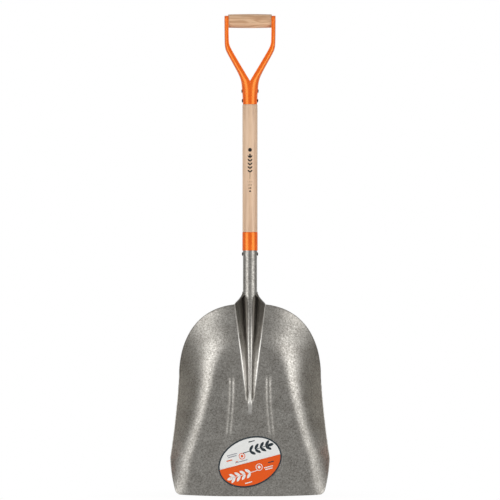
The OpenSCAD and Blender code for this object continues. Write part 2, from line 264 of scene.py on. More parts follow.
class Tree:
    """A material's node tree, with a short call for adding a wired node."""

    def __init__(self, name):
        self.material = bpy.data.materials.new(name)
        self.material.use_nodes = True
        self.nodes = self.material.node_tree.nodes
        self.links = self.material.node_tree.links
        self.shader = self.nodes["Principled BSDF"]
        self.place = self.add("TexCoord").outputs["Object"]

    def put(self, socket, value):
        if isinstance(value, bpy.types.NodeSocket):
            self.links.new(value, socket)
        elif isinstance(value, (tuple, list)) and len(value) == 3 and socket.type == "RGBA":
            socket.default_value = (*value, 1.0)
        else:
            socket.default_value = value

    def add(self, kind, inputs=None, **settings):
        node = self.nodes.new("ShaderNode" + kind)
        for key, value in settings.items():
            setattr(node, key, value)
        for key, value in (inputs or {}).items():
            self.put(node.inputs[key], value)
        return node

    def math(self, operation, a, b=0.0, clamp=False):
        node = self.add("Math", {0: a, 1: b}, operation=operation, use_clamp=clamp)
        return node.outputs[0]

    def scaled(self, scale, turn=(0, 0, 0), shift=(0, 0, 0)):
        inputs = {"Vector": self.place, "Location": shift, "Rotation": turn, "Scale": scale}
        return self.add("Mapping", inputs).outputs[0]

    def noise(self, vector, scale, detail=4.0, roughness=0.55, distortion=0.0):
        inputs = {
            "Vector": vector, "Scale": scale, "Detail": detail,
            "Roughness": roughness, "Distortion": distortion,
        }
        return self.add("TexNoise", inputs).outputs["Fac"]

    def attribute(self, name):
        node = self.add("Attribute", attribute_name=name, attribute_type="GEOMETRY")
        return node.outputs["Fac"]

    def ramp(self, value, stops):
        """Colours or greys along a value: stops are (place, colour or grey)."""
        node = self.add("ValToRGB", {0: value})
        ramp = node.color_ramp
        while len(ramp.elements) < len(stops):
            ramp.elements.new(0.5)
        for element, (place, colour) in zip(ramp.elements, stops):
            element.position = place
            colour = colour if isinstance(colour, tuple) else (colour,) * 3
            element.color = (*colour, 1.0)
        return node.outputs[0]

    def mix(self, factor, a, b, blend="MIX"):
        node = self.add("Mix", data_type="RGBA", blend_type=blend)
        self.put(node.inputs[0], factor)
        self.put(node.inputs[6], a)
        self.put(node.inputs[7], b)
        return node.outputs[2]

    def bump(self, height, strength, distance, normal=None):
        inputs = {"Height": height, "Strength": strength, "Distance": distance}
        if normal is not None:
            inputs["Normal"] = normal
        return self.add("Bump", inputs).outputs[0]

    def set(self, **values):
        names = {
            "colour": "Base Color", "metallic": "Metallic", "roughness": "Roughness",
            "normal": "Normal", "coat": "Coat Weight", "coat_roughness": "Coat Roughness",
            "specular": "Specular IOR Level", "specular_tint": "Specular Tint", "ior": "IOR",
        }
        for key, value in values.items():
            self.put(self.shader.inputs[names[key]], value)
        return self.material


def speckled_steel():
    """Bare hot-rolled sheet under a thin lacquer: warm grey with a fine mottle."""
    t = Tree("speckled_steel")
    fine = t.noise(t.place, 640, 3, 0.6)
    grain = t.noise(t.place, 260, 4, 0.7)
    patches = t.noise(t.place, 30, 4, 0.6, 0.4)
    mottle = t.math("ADD", t.math("MULTIPLY", fine, 0.45), t.math("MULTIPLY", grain, 0.55))
    colour = t.ramp(mottle, [
        (0.36, (0.18, 0.17, 0.155)), (0.50, (0.38, 0.365, 0.335)), (0.64, (0.63, 0.61, 0.57)),
    ])
    tint = t.ramp(patches, [(0.32, (0.80, 0.79, 0.78)), (0.68, (1.0, 1.0, 1.0))])
    colour = t.mix(1.0, colour, tint, "MULTIPLY")
    # Painted shade: the scale mask darkens the trough's walls and the rim towards a dark grey.
    scale = t.math("MULTIPLY", t.attribute("scale"), 0.65)
    colour = t.mix(scale, colour, (0.20, 0.185, 0.165))
    # Painted highlight: the creases and the frog's ridge are lightened towards a pale grey.
    colour = t.mix(t.attribute("painted_highlight"), colour, (0.88, 0.86, 0.82))
    rough = t.ramp(mottle, [(0.35, 0.40), (0.65, 0.26)])
    normal = t.bump(mottle, 0.14, 0.0003)
    return t.set(colour=colour, metallic=0.90, roughness=rough, normal=normal)


def orange_paint():
    """Gloss stoving enamel with a faint orange peel."""
    t = Tree("orange_paint")
    peel = t.noise(t.place, 520, 2, 0.5)
    cloud = t.noise(t.place, 40, 3, 0.5)
    colour = t.ramp(cloud, [(0.3, (0.84, 0.084, 0.001)), (0.7, (0.90, 0.100, 0.001))])
    rough = t.ramp(cloud, [(0.3, 0.20), (0.7, 0.28)])
    normal = t.bump(peel, 0.03, 0.0002)
    return t.set(colour=colour, roughness=rough, normal=normal, specular=1.0, ior=1.9,
                 specular_tint=(1.0, 0.60, 0.15))


def ash_wood(name, along, light, dark, bands):
    """Turned ash: pale wood with tan growth bands and fine pores along the grain.

    light and dark are the colours between and in the bands; bands is their strength.
    """
    t = Tree(name)
    stretch = {"z": (1, 1, 0.05), "x": (0.16, 1, 1)}[along]
    drawn = {"z": (1, 1, 0.02), "x": (0.03, 1, 1)}[along]
    base = t.scaled(stretch, shift=(0.013, 0.007, 0.004))
    drift = t.noise(base, 45, 2, 0.5)
    bend = t.noise(base, 55, 2, 0.45)
    rings = t.math("PINGPONG", t.math("MULTIPLY", bend, 9.0), 1.0)
    streaks = t.noise(t.scaled(drawn), 420, 4, 0.7)
    pores = t.noise(t.scaled(drawn), 1500, 2, 0.5)
    pale = tuple(c * 0.88 for c in light)
    colour = t.mix(t.ramp(drift, [(0.35, 1.0), (0.65, 0.0)]), light, pale)
    colour = t.mix(t.ramp(rings, [(0.50, 0.0), (0.90, bands)]), colour, dark)
    colour = t.mix(t.ramp(streaks, [(0.50, 0.0), (0.72, 0.45)]), colour, dark)
    colour = t.mix(t.ramp(pores, [(0.58, 0.0), (0.70, 0.5)]), colour, (0.34, 0.21, 0.13))
    normal = t.bump(pores, 0.15, 0.0003)
    return t.set(colour=colour, roughness=0.42, normal=normal, coat=0.12, coat_roughness=0.3)


def dark_metal():
    """Oxidised rivet steel, lighter where the hammer polished the dome."""
    t = Tree("rivet_steel")
    worn = t.noise(t.place, 900, 3, 0.6)
    colour = t.ramp(worn, [(0.35, (0.030, 0.025, 0.022)), (0.70, (0.13, 0.11, 0.10))])
    rough = t.ramp(worn, [(0.35, 0.55), (0.70, 0.38)])
    return t.set(colour=colour, metallic=0.85, roughness=rough, normal=t.bump(worn, 0.3, 0.0003))


def film(name, colour):
    """Printed label film: flat ink with a slight mottle under a gloss coat."""
    t = Tree(name)
    ink = t.noise(t.place, 800, 2, 0.5)
    low = tuple(c * 0.93 for c in colour)
    return t.set(
        colour=t.ramp(ink, [(0.3, low), (0.7, colour)]), roughness=0.4,
        normal=t.bump(ink, 0.05, 0.0002), specular=0.3,
    )


# ---- Shape of the pan --------------------------------------------------------


def side_half(z):
    """Half-width of the pan's outline at a height."""
    z = np.asarray(z, float)
    up = clamp01((z - WIDEST_Z) / (SHOULDER_Z - WIDEST_Z))
    down = np.maximum(0, (WIDEST_Z - z) / WIDEST_Z)
    above = PAN_HALF - (SHOULDER_IN + SIDE_BOW) * up + SIDE_BOW * up**2
    below = PAN_HALF - NOSE_IN * (NOSE_STRAIGHT * down + (1 - NOSE_STRAIGHT) * down**2)
    return np.where(z > WIDEST_Z, above, below)


def rim_z(x):
    """Height of the rear rim at a distance from the middle."""
    share = 1 - np.minimum(1, (np.asarray(x) / SHOULDER_HALF) ** SHOULDER_POWER)
    return SHOULDER_Z + (PAN_H - SHOULDER_Z) * share ** (1 / SHOULDER_POWER)


def edge_z(share):
    """Height of the cutting edge at a share of its half-width."""
    half = side_half(0)
    over = np.maximum(0, share * half - (half - CORNER_R))
    return EDGE_RISE * share**2 + CORNER_R - np.sqrt(CORNER_R**2 - over**2)


def rim_share(x, z):
    """Place of a point between the pan's middle, 0, and its rim, 1."""
    x, z = np.abs(x), np.asarray(z, float)
    up = np.maximum(0, (z - SHOULDER_Z) / (PAN_H - SHOULDER_Z))
    shoulder = ((x / SHOULDER_HALF) ** SHOULDER_POWER + up**SHOULDER_POWER) ** (1 / SHOULDER_POWER)
    return np.where(z > SHOULDER_Z, shoulder, x / side_half(z))


def spine_y(z):
    """Depth of the dished floor along the middle."""
    d = np.asarray(z, float) - DISH_Z
    s = np.sqrt(d * d + DISH_BLEND**2) - DISH_BLEND
    return -DISH_REACH - (LIFT * (s - d) + REAR_RISE * (s + d)) / 2


def rim_y(z):
    """Depth of the rim, which falls back towards the socket and the cutting edge."""
    z = np.asarray(z, float)
    bow = np.where(z > DISH_Z, BOW_REAR, BOW_EDGE)
    return -RIM_REACH + bow * ((z - DISH_Z) / DISH_Z) ** 2


def fold(share, place):
    """Rise from the floor, 0, to the rim, 1: flat at first, then ever steeper."""

    def past(s):
        return (np.sqrt((s - place) ** 2 + FOLD_SOFT**2) + s - place) ** 2

    return (past(share) - past(0.0)) / (past(1.0) - past(0.0))


def rib(share, z):
    window = ease((z - RIB_LOW) / RIB_FADE) * ease((RIB_HIGH - z) / RIB_FADE)
    place = lerp(RIB_PLACE_LOW, RIB_PLACE_HIGH, (z - RIB_LOW) / (RIB_HIGH - RIB_LOW))
    return RIB_H * np.exp(-(((np.abs(share) - place) / RIB_HALF) ** 2)) * window


def crease_x(z):
    """Half-width between the two creases of the trough."""
    slope = lerp(CREASE_HALF, TROUGH_HALF, (np.asarray(z, float) - CREASE_Z) / (PAN_H - CREASE_Z))
    return soft_max(CREASE_LEAST, slope, CREASE_BLEND)


def pan_y(x, z):
    """Depth of the pan's inner face, without the trough."""
    place = lerp(FOLD_EDGE, FOLD_REAR, np.asarray(z, float) / PAN_H)
    rise = fold(rim_share(x, z), place)
    share = (np.abs(x) - crease_x(z)) / (side_half(z) - crease_x(z))
    return lerp(spine_y(z), rim_y(z), rise) - rib(share, z)


def frog_share(z):
    return clamp01((np.asarray(z, float) - CREASE_Z) / (NECK_Z - CREASE_Z))


def ridge_x(z):
    return lerp(RIDGE_HALF, SOCKET_R, frog_share(z) ** 1.8)


def valley_y(z):
    return -SOCKET_R + lerp(RIDGE_DEPTH, SOCKET_R, frog_share(z) ** 1.5)


def neck_edge_z(share):
    """Height of the sheet's upper edge at a share of the trough's wall."""
    return PAN_H + NECK_RISE * (1 - share) + (NECK_Z - PAN_H - NECK_RISE) * (1 - share) ** 8


# ---- Blade -------------------------------------------------------------------

RIDGE_COLS, WALL_COLS, WING_COLS = 14, 16, 100
STRIP_COLS = RIDGE_COLS + WALL_COLS
SIDE_COLS = STRIP_COLS + WING_COLS
PAN_ROWS, NECK_ROWS, TUBE_ROWS = 150, 26, 30


def pan_half_grid():
    """The pan's inner face from the middle to one rim: rows of points."""
    i = np.arange(SIDE_COLS + 1)
    angle = np.radians(90 * np.minimum(i, RIDGE_COLS) / RIDGE_COLS)
    wall = clamp01((i - RIDGE_COLS) / WALL_COLS)
    wall = (1 - np.cos(np.pi * wall)) / 2
    wing = clamp01((i - STRIP_COLS) / WING_COLS)
    out = 0.75 * (1 - np.cos(np.pi * wing)) / 2 + 0.25 * wing
    top = np.where(out > 0, rim_z(lerp(TROUGH_HALF, SHOULDER_HALF, out)), neck_edge_z(wall))
    rows = np.linspace(0, 1, PAN_ROWS + 1)[:, None]
    z = lerp(edge_z(out)[None, :], top[None, :], rows)
    on_ridge = (i <= RIDGE_COLS)[None, :]
    on_strip = (i <= STRIP_COLS)[None, :]
    crease = crease_x(z)
    x = np.where(on_ridge, ridge_x(z) * np.sin(angle),
                 np.where(on_strip, lerp(ridge_x(z), crease, wall),
                          lerp(crease, side_half(z), out)))
    frog = np.where(on_ridge, lerp(-SOCKET_R, valley_y(z), 1 - np.cos(angle)),
                    lerp(valley_y(z), pan_y(crease, z), wall))
    low = lerp(FROG_END_Z, VALLEY_END_Z, angle / (np.pi / 2))[None, :]
    blend = np.where(on_strip, ease((z - low) / (FROG_FULL_Z - low)), 0)
    return np.stack([x, lerp(pan_y(x, z), frog, blend), z], -1)


def soften(grid, column, reach, passes):
    """Rounds a sharp crease that runs along one column of a grid."""
    weight = np.clip(1 - np.abs(np.arange(grid.shape[1]) - column) / reach, 0, 1)[None, 1:-1, None]
    for _ in range(passes):
        mean = (grid[:, :-2] + 2 * grid[:, 1:-1] + grid[:, 2:]) / 4
        grid[:, 1:-1] = lerp(grid[:, 1:-1], mean, weight)
    return grid


def tube_grid(z, radius):
    """Rows of points on the rolled tube, from its front to its seam."""
    i = np.arange(STRIP_COLS + 1)
    wall = clamp01((i - RIDGE_COLS) / WALL_COLS)
    angle = np.radians(90 * np.minimum(1, i / RIDGE_COLS) + (90 - SEAM_ANGLE) * wall)
    z, radius = np.atleast_1d(z)[:, None], np.atleast_1d(radius)[:, None]
    flat = np.ones_like(angle)[None, :]
    return np.stack([radius * np.sin(angle), -radius * np.cos(angle), z * flat], -1)


def neck_grid(start):
    """Rows between the rim and the closed tube, where the trough's walls swing back."""
    i = np.arange(STRIP_COLS + 1)
    wall = clamp01((i - RIDGE_COLS) / WALL_COLS)[:, None]
    end = tube_grid(CLOSED_Z, SOCKET_R)[0]
    near = np.array([SOCKET_R, 0, (NECK_Z + CLOSED_Z) / 2])
    far = np.array([SOCKET_R - 2, -5, PAN_H + NECK_RISE])
    elbow = np.where(wall == 0, (start + end) / 2, lerp(near, far, wall))
    s = np.linspace(0, 1, NECK_ROWS + 1)[1:-1, None, None]
    return lerp(lerp(start, elbow, s), lerp(elbow, end, s), s)


def blade_half_grid():
    pan = soften(soften(pan_half_grid(), STRIP_COLS, 5, 10), RIDGE_COLS, 4, 6)
    neck = neck_grid(pan[-1, :STRIP_COLS + 1])
    z = np.linspace(CLOSED_Z, MOUTH_Z, TUBE_ROWS)
    radius = lerp(SOCKET_R, MOUTH_R, ease((z - FLARE_Z) / (COLLAR_LOW[2] - FLARE_Z)))
    strip = np.concatenate([neck, tube_grid(z, radius)])
    wing = np.repeat(strip[:, -1:], WING_COLS, axis=1)
    return np.concatenate([pan, np.concatenate([strip, wing], axis=1)])


def make_blade(material):
    half = blade_half_grid()
    mirrored = (half * (-1, 1, 1))[:, :0:-1]
    front = np.concatenate([mirrored, half], axis=1)
    rows, cols = front.shape[0] - 1, front.shape[1] - 1
    from_middle = np.abs(np.arange(cols) + 0.5 - SIDE_COLS)[None, :]
    used = (np.arange(rows)[:, None] < PAN_ROWS) | (from_middle < STRIP_COLS)
    normals = grid_normals(front)
    strip = slice(SIDE_COLS - STRIP_COLS, SIDE_COLS + STRIP_COLS + 1)
    normals[PAN_ROWS + 1:, strip] = grid_normals(front[PAN_ROWS:, strip])[1:]
    back = front - SHEET_T * normals
    back[..., 2] = np.maximum(0, back[..., 2])
    points, faces = shell(front, back, used)
    blade = mesh_object("scoop_blade_sheet", points, faces, [material])
    round_edges(blade, 0.35, angle=55)
    add_painted_light(blade)
    return blade


def add_painted_light(blade):
    """Marks the sheet for its material.

    One mask is a painted highlight along the creases and on the frog's ridge; scale is
    painted shade, a darker colour on the trough's walls and along the sheared rim.
    """
    mesh = blade.data
    flat = np.empty(len(mesh.vertices) * 3)
    mesh.vertices.foreach_get("co", flat)
    x, y, z = (flat.reshape(-1, 3) / MM - (0, AXIS_Y, 0)).T
    x = np.abs(x)
    # Painted highlight along each crease, weaker near the top and gone at the rim.
    crease = np.exp(-(((x - crease_x(z)) / 1.5) ** 2)) * ease((z - FROG_FULL_Z) / 40)
    crease *= lerp(0.35, 1.0, ease((PAN_H - 20 - z) / 60)) * ease((PAN_H - 8 - z) / 12)
    # Painted highlight on the frog's ridge: along its flanks and at its tip.
    flank = np.exp(-(((x / ridge_x(z) - 0.62) / 0.24) ** 2)) * ease((CLOSED_Z - z) / 60)
    tip = ease((ridge_x(z) - x) / 2) * ease((z - FROG_END_Z) / 12) * ease((FROG_FULL_Z + 12 - z) / 16)
    ridge = np.maximum(0.75 * flank * ease((z - FROG_FULL_Z) / 12), 0.45 * tip)
    ridge *= y < valley_y(z) + 1
    # Painted shade on the trough's walls.
    wall = ease((x - ridge_x(z) * 0.9) / 2) * ease((crease_x(z) - 0.8 - x) / 3)
    wall *= ease((z - VALLEY_END_Z - 8) / 14) * ease((CLOSED_Z - z) / 20)
    # Painted shade along the rim above the shoulders.
    rim = ease((rim_share(x, np.minimum(z, PAN_H)) - 0.975) / 0.02) * (z > SHOULDER_Z)
    rim *= (z < PAN_H + 1) * (x > crease_x(z) + 1)
    masks = {"painted_highlight": np.maximum(0.75 * crease, ridge), "scale": np.maximum(wall, 0.8 * rim)}
    for name, values in masks.items():
        attribute = mesh.attributes.new(name, "FLOAT", "POINT")
        attribute.data.foreach_set("value", values.astype(np.float32))


# ---- Wood, collar, rivets ----------------------------------------------------


def make_shaft(material):
    low, high = SHAFT_LOW[2], SHAFT_HIGH[2]
    radius = (SHAFT_HIGH[0] - SHAFT_LOW[0]) / 2
    in_collar, in_sleeve, in_socket = MOUTH_R, 14.33, 13.9
    collar_top, sleeve_low = COLLAR_HIGH[2], YOKE_LOW[2]
    body = [(radius, z) for z in np.linspace(collar_top + 1.2, sleeve_low - 3, 60)]
    profile = [
        (in_socket - 3, low), (in_socket, low + 6), (in_socket, MOUTH_Z + 1),
        (in_collar, MOUTH_Z + 1), (in_collar, collar_top + 0.1), (radius - 0.5, collar_top + 0.4),
        *body,
        (radius - 0.25, sleeve_low - 1.6), (radius - 0.8, sleeve_low - 0.7),
        (radius - 1.2, sleeve_low - 0.1), (in_sleeve, sleeve_low - 0.1),
        (in_sleeve, high - 3), (in_sleeve - 3, high),
    ]
    shaft = lathe("handle_shaft_wood", profile, (0, 0, 0), "z", material, 128,
                  wobble=lambda a, z, r: 0.06 * np.sin(2 * a + z / 60) * (r > radius - 0.1))
    return shaft


def make_collar(material):
    low, high = COLLAR_LOW[2], COLLAR_HIGH[2]
    outer = (COLLAR_HIGH[0] - COLLAR_LOW[0]) / 2
    inner = MOUTH_R + 0.12
    edge = 0.35
    profile = [
        (inner, low), (outer - edge, low), (outer - edge * 0.3, low + edge * 0.3),
        (outer, low + edge), (outer, high - 2.2), (outer - 0.05, high - 1.2),
        (outer - 0.2, high - 0.4), (outer - edge * 1.2, high), (inner, high),
    ]
    return lathe("socket_collar_band", profile, (0, 0, 0), "z", material, 128, closed=True)


def make_rivet(node, material):
    """Two hammered domes on one shank, across the handle."""
    low, high = box_mm(node)
    half = (high[0] - low[0]) / 2
    head_r = (high[2] - low[2]) / 2
    head_h = 1.8
    shank = 2.5
    dome = [
        (head_r * math.sin(a), half - head_h + head_h * math.cos(a) ** 0.8)
        for a in np.linspace(math.pi / 2, 0.06, 12)
    ]
    grip = half - head_h
    end = [(shank, grip), (head_r * 0.94, grip), *dome]
    profile = [(r, -z) for r, z in reversed(end)] + end
    flats = np.random.default_rng(int(low[2]))
    phase = flats.uniform(0, 6.28, 3)

    def hammered(angles, along, radius):
        near = abs(along) > grip
        return near * 0.10 * (np.sin(3 * angles + phase[0]) + np.sin(5 * angles + phase[1]))

    z = (low[2] + high[2]) / 2
    return lathe(node + "_domed", profile, (0, 0, z), "x", material, 48, wobble=hammered)


# ---- Grip --------------------------------------------------------------------

YOKE_T = 1.6
APEX_Z = 922.5
SLIT_Z = 914.5
SPLIT_Z = 903.0
ARM_LEAN = 0.6
ARM_LEAN_OUT = 0.588
APEX_HALF = 14.6
ARM_BEND = 5.0
CROTCH_BEND = 9.0
SLEEVE_R = 16.05
SLEEVE_TOP_R = 17.2
FLANGE_W = 9.2
GRIP_HALF = 57.2
ARM_HALF_DEPTH = 17.0
EAR_CORNER_R = 7.0
ROD_R = 3.0
BAR_Z = middle("grip_bar")[2]
EAR_TOP_Z = YOKE_HIGH[2]


def arm_in(z):
    """Inner edge of an arm, seen from the front, above the slit where the sleeve parts."""
    lean = soft_min((z - APEX_Z) * ARM_LEAN, GRIP_HALF - FLANGE_W, ARM_BEND)
    return np.where(z > SLIT_Z, soft_max(lean, 0.05, 0.1), 0.0)


def arm_out(z):
    lean = APEX_HALF + (z - APEX_Z) * ARM_LEAN_OUT
    free = soft_min(soft_max(SLEEVE_TOP_R - 0.6, lean, CROTCH_BEND), GRIP_HALF, ARM_BEND)
    sleeve = lerp(SLEEVE_R, SLEEVE_TOP_R, clamp01((z - YOKE_LOW[2]) / (SPLIT_Z - YOKE_LOW[2])))
    return lerp(sleeve, free, ease((z - SPLIT_Z + 12) / 12))


def arm_depth(z):
    over = np.maximum(0, z - (EAR_TOP_Z - EAR_CORNER_R))
    sleeve = lerp(SLEEVE_R, SLEEVE_TOP_R, clamp01((z - YOKE_LOW[2]) / (SPLIT_Z - YOKE_LOW[2])))
    depth = lerp(sleeve, ARM_HALF_DEPTH, ease((z - SPLIT_Z) / 40))
    return depth - EAR_CORNER_R + np.sqrt(EAR_CORNER_R**2 - np.minimum(over, EAR_CORNER_R) ** 2)


def arm_section(z, inset):
    """Half outline of an arm from its back edge round the outside to its front edge."""
    power = lerp(2.0, 3.4, ease((z - SPLIT_Z) / 60))
    lip = 2.2 * ease((z - SLIT_Z + 3) / 16)
    lip_turn = math.radians(65)
    count, lip_count = 34, 6
    turn = np.linspace(-np.pi / 2, np.pi / 2, count)
    hinge = arm_in(z) + lip * math.sin(lip_turn)
    depth = arm_depth(z)
    reach = arm_out(z) - inset * 1.1 - hinge
    x = hinge + reach * np.cos(turn).clip(0) ** (2 / power)
    y = -(depth - inset) * np.sign(np.sin(turn)) * np.abs(np.sin(turn)) ** (2 / power)
    curl = np.linspace(0, lip_turn, lip_count)[1:]
    radius = np.maximum(lip - inset, 0)
    lip_x = hinge - lip * np.sin(curl)
    drop = (depth - inset) - radius * (1 - np.cos(curl))
    front = np.stack([lip_x, -drop], 1)
    back = np.stack([lip_x, drop], 1)[::-1]
    return np.concatenate([back, np.stack([x, y], 1), front])


def make_yoke(material):
    """One pressed sheet: a rolled sleeve whose two halves part into the arms."""
    low = YOKE_LOW[2]
    z = np.concatenate([
        np.linspace(low, SLIT_Z, 26), np.linspace(SLIT_Z + 0.6, APEX_Z + 30, 40),
        np.linspace(APEX_Z + 32, EAR_TOP_Z - EAR_CORNER_R, 60),
        EAR_TOP_Z - EAR_CORNER_R * (1 - np.sin(np.linspace(0.08, np.pi / 2 - 0.05, 12))),
    ])
    outer = np.array([[(*p, h) for p in arm_section(h, 0.0)] for h in z])
    inner = np.array([[(*p, h) for p in arm_section(h, YOKE_T)] for h in z])
    used = np.ones((len(z) - 1, outer.shape[1] - 1), bool)
    points, faces = shell(outer[:, ::-1], inner[:, ::-1], used)
    closed = {k for k, p in enumerate(points) if p[0] < 1e-6}
    faces = [f for f in faces if not all(k in closed for k in f)]
    count = len(points)
    both = np.concatenate([points, points * (-1, 1, 1)])
    faces += [[count + k for k in reversed(f)] for f in faces]
    yoke = mesh_object("grip_yoke_pressing", both, faces, [material])
    mesh = bmesh.new()
    mesh.from_mesh(yoke.data)
    bmesh.ops.remove_doubles(mesh, verts=mesh.verts, dist=0.02 * MM)
    bmesh.ops.recalc_face_normals(mesh, faces=mesh.faces)
    mesh.to_mesh(yoke.data)
    mesh.free()
    round_edges(yoke, 0.4, angle=50)
    return yoke


def make_bar(material):
    """The turned bar: a slight barrel with a shouldered tenon in each ear."""
    half = (BAR_HIGH[0] - BAR_LOW[0]) / 2
    mid_r = (BAR_HIGH[2] - BAR_LOW[2]) / 2
    end_r = mid_r - 0.8
    shoulder = GRIP_HALF - FLANGE_W + 0.6
    tenon_r = 10.8
    edge = 0.5
    barrel = [(lerp(mid_r, end_r, s * s), s * (shoulder - edge)) for s in np.linspace(-1, 1, 50)]
    end = [
        (end_r - edge * 0.3, shoulder - edge * 0.3), (end_r - edge, shoulder),
        (tenon_r, shoulder), (tenon_r, half - edge), (tenon_r - edge, half), (ROD_R + 0.1, half),
    ]
    profile = [(r, -x) for r, x in reversed(end)] + barrel + end
    return lathe("grip_bar_wood", profile, (0, 0, BAR_Z), "x", material, 128, closed=True)


def make_rod(material):
    """The rod through the bar, peened flush into the ears."""
    end = [(ROD_R, GRIP_HALF - 0.6), (ROD_R - 0.15, GRIP_HALF - 0.2),
           (ROD_R - 0.6, GRIP_HALF - 0.04), (0.4, GRIP_HALF)]
    profile = [(r, -x) for r, x in reversed(end)] + end
    return lathe("grip_rod_peened", profile, (0, 0, BAR_Z), "x", material, 40)


# ---- Prints on the label and the shaft -----------------------------------------

LABEL_A, LABEL_B = 73.0, 53.5
LABEL_Z = (LABEL_LOW[2] + LABEL_HIGH[2]) / 2
LABEL_TILT = math.radians(22)
DIVIDER_TURN = math.radians(-7.6)
FILM_GAP, FILM_T, INK_T = 0.1, 0.3, 0.05


def on_label(u, v, lift_off):
    """A point of the label, u along its long axis and v across it, above the pan."""
    x = u * math.cos(LABEL_TILT) - v * math.sin(LABEL_TILT)
    z = u * math.sin(LABEL_TILT) + v * math.cos(LABEL_TILT) + LABEL_Z
    return np.stack([x, pan_y(x, z) - lift_off, z], -1)


def on_shaft(u, v, lift_off):
    """A point of the shaft's front, u up the shaft and v round it."""
    radius = (SHAFT_HIGH[0] - SHAFT_LOW[0]) / 2 + 0.06 + lift_off
    angle = v / radius
    return np.stack([radius * np.sin(angle), -radius * np.cos(angle), u], -1)


def disc(steps):
    """A square grid drawn into a round one, as two arrays from -1 to 1."""
    v, u = np.meshgrid(*[np.linspace(-1, 1, steps + 1)] * 2, indexing="ij")
    return u * np.sqrt(1 - v * v / 2), v * np.sqrt(1 - u * u / 2)


class Print:
    """Flat shapes of one ink, laid on a curved surface."""

    def __init__(self, surface, base, thickness=INK_T):
        self.surface, self.base, self.thickness = surface, base, thickness
        self.points, self.faces = [], []

    def patch(self, u, v):
        low = self.surface(u, v, self.base)
        high = self.surface(u, v, self.base + self.thickness)
        used = np.ones((u.shape[0] - 1, u.shape[1] - 1), bool)
        points, faces = shell(high, low, used)
        start = len(self.points)
        self.points += list(points)
        self.faces += [[start + k for k in f] for f in faces]

    def turned(self, centre, turn, u, v):
        c, s = math.cos(turn), math.sin(turn)
        self.patch(centre[0] + u * c - v * s, centre[1] + u * s + v * c)

    def bar(self, centre, length, height, turn=DIVIDER_TURN):
        cols = max(2, int(length / 3))
        v, u = np.meshgrid(np.linspace(-1, 1, 3), np.linspace(-1, 1, cols), indexing="ij")
        self.turned(centre, turn, u * length / 2, v * height / 2)

    def ring(self, centre, radius, width, steps=40):
        self.oval(centre, radius, radius, width, steps)

    def oval(self, centre, half_u, half_v, width, steps=96):
        angle, share = np.meshgrid(np.linspace(0, 2 * np.pi, steps + 1), [0, 0.5, 1])
        u = (half_u - width * share) * np.cos(angle)
        v = (half_v - width * share) * np.sin(angle)
        self.patch(centre[0] + u, centre[1] + v)

    def dot(self, centre, radius):
        u, v = disc(8)
        self.patch(centre[0] + u * radius, centre[1] + v * radius)

    def kernel(self, centre, length, width, turn):
        """One almond-shaped grain."""
        s, t = np.meshgrid(np.linspace(-0.98, 0.98, 13), np.linspace(-1, 1, 5))
        self.turned(centre, turn, s * length / 2, t * width / 2 * (1 - s * s) ** 0.7)

    def ear(self, foot, length, height, turn, pairs):
        """An ear of wheat: a stalk, pairs of grains that point outwards, and one at the tip."""
        c, s = math.cos(turn), math.sin(turn)
        grain = height * 0.66
        head = length * 0.30

        def along(d, side):
            return foot[0] + d * c - side * s, foot[1] + d * s + side * c

        self.bar(along(head / 2, 0), head, height * 0.07, turn)
        for k in range(pairs):
            d = lerp(head, length - grain * 0.9, k / (pairs - 1))
            for side in (-1, 1):
                place = along(d, side * height * 0.24)
                self.kernel(place, grain, height * 0.27, turn + side * math.radians(42))
        self.bar(along((head + length) / 2, 0), length - head - grain, height * 0.07, turn)
        self.kernel(along(length - grain / 2, 0), grain, height * 0.30, turn)

    def build(self, name, material):
        return mesh_object(name, self.points, self.faces, [material])


def make_label():
    """The oval label: white film, an orange lower half, a dark border and plain marks."""
    top = FILM_GAP + FILM_T
    white = Print(on_label, FILM_GAP, FILM_T)
    u, v = disc(48)
    white.patch(u * LABEL_A, v * LABEL_B)

    lower = Print(on_label, top)
    angle = np.linspace(np.pi, 2 * np.pi, 49)
    rim_u, rim_v = LABEL_A * 0.985 * np.cos(angle), LABEL_B * 0.985 * np.sin(angle)
    split = rim_u * math.tan(DIVIDER_TURN)
    share = np.linspace(0, 1, 15)[:, None]
    under = np.minimum(rim_v, split - 0.2)
    lower.patch(rim_u[None, :] + 0 * share, lerp(split[None, :], under[None, :], share))
    lower.ring((-11.8, 18.1), 7.2, 1.5)
    lower.dot((-11.8, 18.1), 3.0)
    lower.bar((-41.5, 19.5), 13, 2.6)
    lower.bar((-27.0, 3.2 + 8), 4, 2.0)

    dark = Print(on_label, top + INK_T)
    dark.oval((0, 0), LABEL_A, LABEL_B, 3.4)
    dark.ear((-8, 23.5), 72, 23, math.radians(-5), 4)
    dark.bar((20, 40.5), 14, 2.2)
    dark.bar((43, -17.5), 13, 2.4)

    grey = Print(on_label, top + INK_T)
    for row in range(2):
        grey.bar((-31.5 - row, 29.5 - 4.2 * row), 23 - 3 * row, 2.2)
    grey.bar((-17.5, 8.2), 28, 2.0)

    pale = Print(on_label, top + 2 * INK_T)
    pale.bar((0, 0), 2 * LABEL_A - 8, 0.9)
    pale.ring((14.6, -18.3), 7.8, 1.5)
    pale.dot((14.6, -18.3), 3.2)
    pale.ear((8, -23.5), 70, 22, math.pi + math.radians(-5), 4)
    for row in range(2):
        pale.bar((34.5 - row, -25.5 - 4.2 * row), 20 - 3 * row, 2.2)
    pale.bar((-20.0, -41.0), 16, 2.2)

    inks = {
        "label_film_white": (white, film("label_white", (0.86, 0.86, 0.84))),
        "label_print_orange": (lower, film("label_orange", (0.84, 0.105, 0.006))),
        "label_print_dark": (dark, film("label_dark", (0.022, 0.036, 0.045))),
        "label_print_grey": (grey, film("label_grey", (0.36, 0.37, 0.40))),
        "label_print_pale": (pale, film("label_pale", (0.88, 0.87, 0.84))),
    }
    return [shapes.build(name, material) for name, (shapes, material) in inks.items()]


